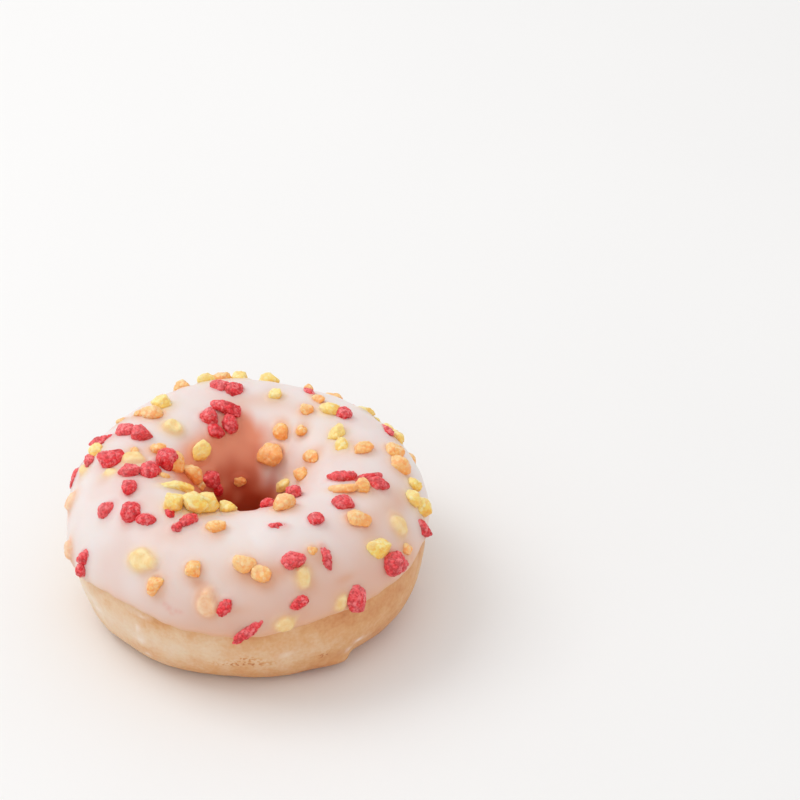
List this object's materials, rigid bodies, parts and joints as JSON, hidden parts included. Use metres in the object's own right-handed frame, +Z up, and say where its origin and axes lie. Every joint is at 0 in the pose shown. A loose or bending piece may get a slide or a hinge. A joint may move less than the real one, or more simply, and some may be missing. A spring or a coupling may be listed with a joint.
{
  "type": "iced mini ring doughnut with sugar nibs",
  "caption": "Small fried dough ring with a hole, pale pink icing over its upper half, and red, orange and yellow sugar nibs strewn on the icing.",
  "frame": {"origin": "middle of the doughnut's hole, on the level that it rests on", "axes": "+Z up through the hole; -Y is the front, the side that the picture's camera sees; +X is to the right of that view"},
  "size_m": [0.0667, 0.0695, 0.0318],
  "materials": {
    "dough": "fried dough: dry and satin, golden below the icing and near the base, paler round the middle",
    "icing": "set sugar icing: smooth, satin, slightly see-through, white with a pink cast",
    "red_nibs": "raspberry red sugar nibs, grainy with light crystals",
    "orange_nibs": "pale orange sugar nibs, grainy and a little see-through",
    "yellow_nibs": "pale yellow sugar nibs, grainy and a little see-through"
  },
  "bodies": {
    "root": {"dough": "dough", "icing": "icing"}
  },
  "joints": []
}
